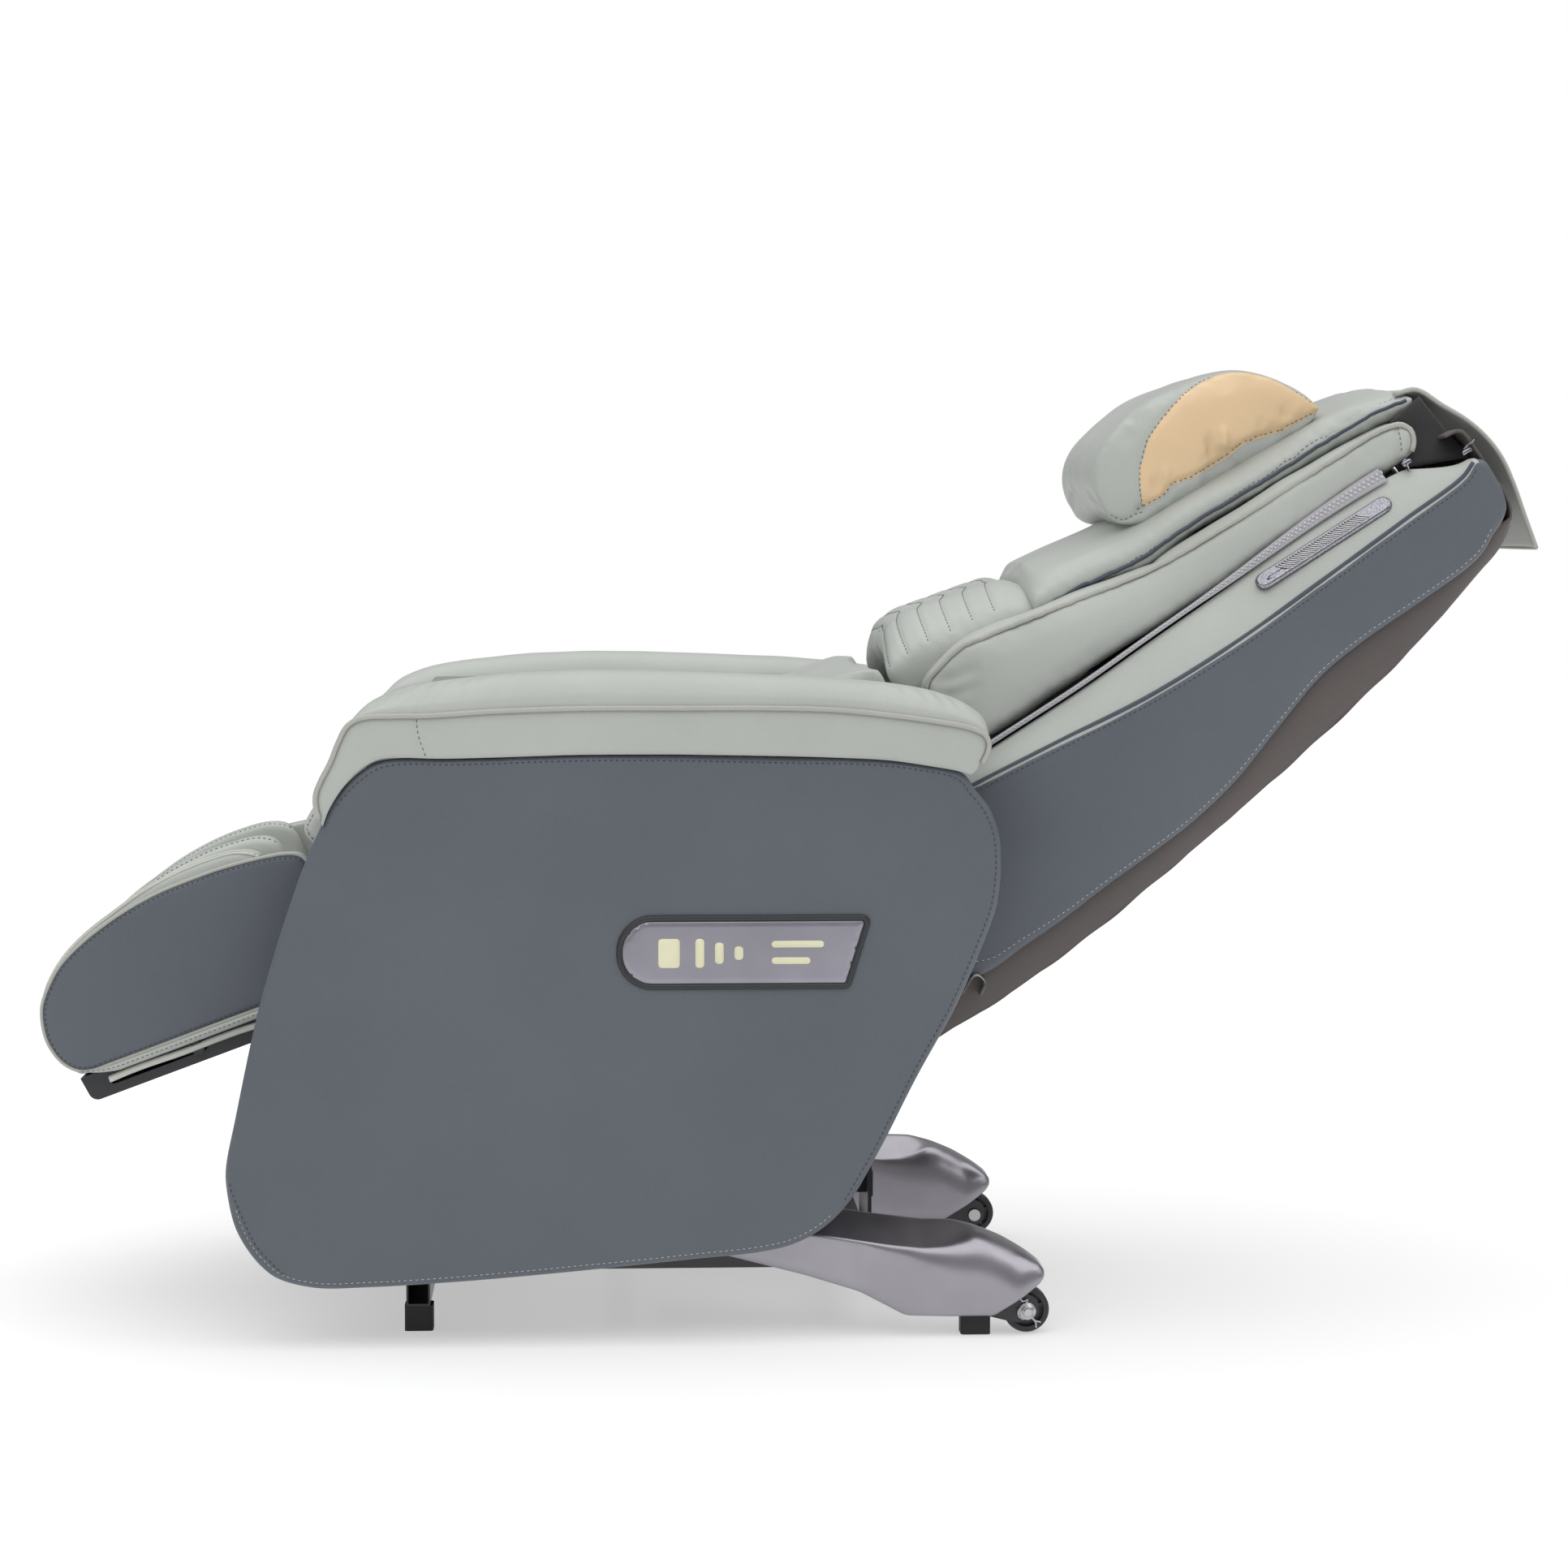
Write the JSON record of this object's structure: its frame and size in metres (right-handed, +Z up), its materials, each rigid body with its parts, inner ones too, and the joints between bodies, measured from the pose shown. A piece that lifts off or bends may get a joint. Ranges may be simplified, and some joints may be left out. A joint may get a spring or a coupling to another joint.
{
  "type": "massage chair",
  "caption": "Powered reclining massage chair with padded arms, a raised calf rest, a rolled seat, a full-length backrest with a head pillow, and rear transport wheels.",
  "frame": {"origin": "on the floor below the middle of the chair, with the backrest reclined to its stop and the leg rest raised", "axes": "+Z up, -Y the way the sitter faces, +X the sitter's left"},
  "size_m": [0.697, 1.5989, 1.0209],
  "materials": {
    "frame_steel": "satin",
    "plywood": "matte",
    "black_rubber": "matte",
    "silver_plastic": "metallic satin",
    "bright_steel": "brushed",
    "dark_leather": "satin",
    "grey_leather": "satin",
    "pillow_leather": "satin",
    "back_fabric": "matte",
    "black_plastic": "matte",
    "plate_metal": "satin",
    "chrome": "polished",
    "key_plastic": "gloss"
  },
  "bodies": {
    "base": {"base_frame": "frame_steel", "seat_frame": "frame_steel", "seat_pan": "plywood", "pivot_brackets": "frame_steel", "rubber_feet": "black_rubber", "leg_covers": "silver_plastic", "wheel_forks": "frame_steel", "wheel_axles": "bright_steel", "axle_clips": "bright_steel", "arm_cores": "plywood", "side_panel_left": "dark_leather", "side_panel_right": "dark_leather", "arm_pads": "grey_leather", "nameplate_bezels": "black_plastic", "nameplates": "plate_metal", "seat_cushion": "grey_leather", "control_box": "black_plastic", "air_pump": "black_plastic", "power_plate": "black_plastic", "power_inlet": "black_plastic", "key_panel": "black_plastic"},
    "wheel_left": {"wheel_left": "black_plastic"},
    "wheel_right": {"wheel_right": "black_plastic"},
    "power_switch": {"power_switch": "black_plastic"},
    "key_1": {"key_1": "key_plastic"},
    "key_2": {"key_2": "key_plastic"},
    "key_3": {"key_3": "key_plastic"},
    "legrest": {"legrest_frame": "frame_steel", "calf_tray": "black_plastic"},
    "calf_unit": {"calf_shell": "black_plastic", "calf_runners": "bright_steel", "calf_side_panels": "dark_leather", "calf_wall_pads": "grey_leather", "calf_floor_pads": "grey_leather"},
    "backrest": {"back_frame": "frame_steel", "guide_rods": "bright_steel", "back_side_panels": "dark_leather", "back_ledges": "grey_leather", "speakers": "chrome", "back_bolsters": "grey_leather", "roller_cover": "back_fabric", "back_cover": "back_fabric", "back_roll": "grey_leather", "lumbar_pad": "grey_leather", "back_pad": "grey_leather", "head_pillow": "pillow_leather", "top_flap": "grey_leather"},
    "lead_screw": {"lead_screw": "bright_steel"},
    "carriage": {"roller_carriage": "frame_steel", "carriage_motor": "black_plastic"},
    "knead_arm_left": {"knead_arm_left": "frame_steel"},
    "knead_arm_right": {"knead_arm_right": "frame_steel"},
    "low_roller_left": {"low_roller_left": "black_plastic"},
    "low_roller_right": {"low_roller_right": "black_plastic"},
    "top_roller_left": {"top_roller_left": "black_plastic"},
    "top_roller_right": {"top_roller_right": "black_plastic"},
    "recline_housing": {"recline_actuator_housing": "black_plastic"},
    "recline_rod": {"recline_actuator_rod": "bright_steel"},
    "legrest_housing": {"legrest_actuator_housing": "black_plastic"},
    "legrest_rod": {"legrest_actuator_rod": "bright_steel"}
  },
  "joints": [
    {"name": "wheel_left_spin", "type": "hinge", "parent": "base", "child": "wheel_left", "pos_m": [0.283, 0.236, 0.0255], "axis": [1, 0, 0], "continuous": true},
    {"name": "wheel_right_spin", "type": "hinge", "parent": "base", "child": "wheel_right", "pos_m": [-0.283, 0.236, 0.0255], "axis": [1, 0, 0], "continuous": true},
    {"name": "power_switch_rock", "type": "hinge", "parent": "base", "child": "power_switch", "pos_m": [-0.041, 0.086, 0.118], "axis": [1, 0, 0], "range_deg": [0, 14]},
    {"name": "key_1_press", "type": "slide", "parent": "base", "child": "key_1", "axis": [-1, 0, 0], "range_m": [0, 0.002], "stiffness_N_per_m": 200, "springref_m": -0.002},
    {"name": "key_2_press", "type": "slide", "parent": "base", "child": "key_2", "axis": [-1, 0, 0], "range_m": [0, 0.002], "stiffness_N_per_m": 200, "springref_m": -0.002},
    {"name": "key_3_press", "type": "slide", "parent": "base", "child": "key_3", "axis": [-1, 0, 0], "range_m": [0, 0.002], "stiffness_N_per_m": 200, "springref_m": -0.002},
    {"name": "legrest_lift", "type": "hinge", "parent": "base", "child": "legrest", "pos_m": [0, -0.482, 0.452], "axis": [1, 0, 0], "range_deg": [0, 58]},
    {"name": "calf_extend", "type": "slide", "parent": "legrest", "child": "calf_unit", "axis": [0, -0.9379, -0.3469], "range_m": [0, 0.08], "stiffness_N_per_m": 300, "springref_m": -0.3},
    {"name": "recline", "type": "hinge", "parent": "base", "child": "backrest", "pos_m": [0, 0.068, 0.437], "axis": [1, 0, 0], "range_deg": [0, 40]},
    {"name": "carriage_travel", "type": "slide", "parent": "backrest", "child": "carriage", "axis": [0, 0.8434, 0.5373], "range_m": [-0.13, 0.22]},
    {"name": "lead_screw_turn", "type": "hinge", "parent": "backrest", "child": "lead_screw", "pos_m": [0, 0.068, 0.437], "axis": [0, 0.8434, 0.5373], "continuous": true},
    {"name": "knead_left", "type": "hinge", "parent": "carriage", "child": "knead_arm_left", "pos_m": [0, 0.388, 0.69778], "axis": [1, 0, 0], "range_deg": [-9, 9]},
    {"name": "knead_right", "type": "hinge", "parent": "carriage", "child": "knead_arm_right", "pos_m": [0, 0.388, 0.69778], "axis": [1, 0, 0], "range_deg": [-9, 9]},
    {"name": "low_roller_left_spin", "type": "hinge", "parent": "knead_arm_left", "child": "low_roller_left", "pos_m": [0, 0.3205, 0.70695], "axis": [1, 0, 0], "continuous": true},
    {"name": "top_roller_left_spin", "type": "hinge", "parent": "knead_arm_left", "child": "top_roller_left", "pos_m": [0, 0.40821, 0.76282], "axis": [1, 0, 0], "continuous": true},
    {"name": "low_roller_right_spin", "type": "hinge", "parent": "knead_arm_right", "child": "low_roller_right", "pos_m": [0, 0.3205, 0.70695], "axis": [1, 0, 0], "continuous": true},
    {"name": "top_roller_right_spin", "type": "hinge", "parent": "knead_arm_right", "child": "top_roller_right", "pos_m": [0, 0.40821, 0.76282], "axis": [1, 0, 0], "continuous": true},
    {"name": "recline_housing_tilt", "type": "hinge", "parent": "base", "child": "recline_housing", "pos_m": [0, -0.181, 0.104], "axis": [1, 0, 0], "range_deg": [-2, 2]},
    {"name": "recline_rod_extend", "type": "slide", "parent": "recline_housing", "child": "recline_rod", "axis": [0, 0.7837, 0.6211], "range_m": [0, 0.08]},
    {"name": "legrest_housing_tilt", "type": "hinge", "parent": "base", "child": "legrest_housing", "pos_m": [0, -0.06, 0.405], "axis": [1, 0, 0], "range_deg": [-2, 2]},
    {"name": "legrest_rod_extend", "type": "slide", "parent": "legrest_housing", "child": "legrest_rod", "axis": [0, -0.9989, -0.0476], "range_m": [-0.07, 0]}
  ],
  "couplings": [
    {"joint": "lead_screw_turn", "follows": "carriage_travel", "rad_per_m": 314.16},
    {"joint": "knead_right", "follows": "knead_left", "ratio": -1},
    {"joint": "recline_housing_tilt", "follows": "recline", "ratio": -0.02},
    {"joint": "recline_rod_extend", "follows": "recline", "m_per_rad": 0.111},
    {"joint": "legrest_housing_tilt", "follows": "legrest_lift", "ratio": -0.02},
    {"joint": "legrest_rod_extend", "follows": "legrest_lift", "m_per_rad": -0.0675}
  ]
}
